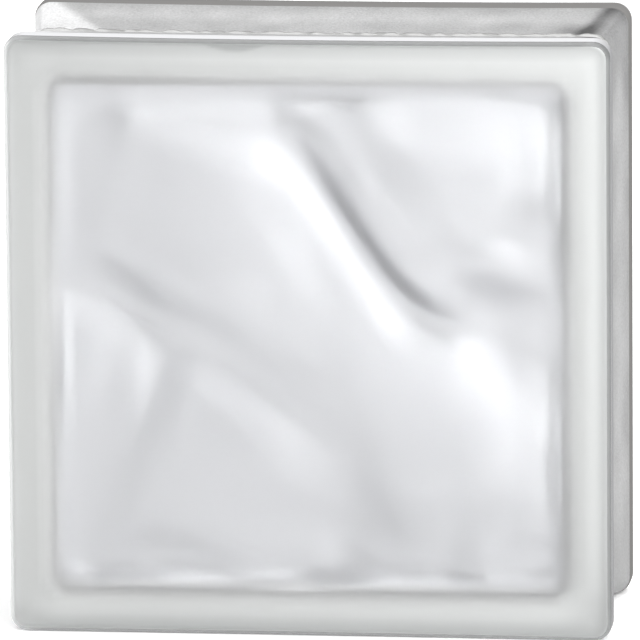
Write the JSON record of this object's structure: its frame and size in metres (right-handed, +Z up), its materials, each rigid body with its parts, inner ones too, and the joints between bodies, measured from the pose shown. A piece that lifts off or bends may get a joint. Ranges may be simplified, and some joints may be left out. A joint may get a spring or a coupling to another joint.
{
  "type": "hollow glass block",
  "caption": "Square hollow glass block with flat satin faces, waves pressed inside, rounded flanges and a drawn-in mortar groove with a fused seam round its edges.",
  "frame": {"origin": "middle of the bottom edge, on the level of the flange lands that the block stands on", "axes": "+Z up, the front face looks along -Y, +X to the right seen from the front"},
  "size_m": [0.19, 0.08, 0.19],
  "materials": {
    "satin_glass": "satin"
  },
  "bodies": {
    "root": {"glass_block": "satin_glass"}
  },
  "joints": []
}
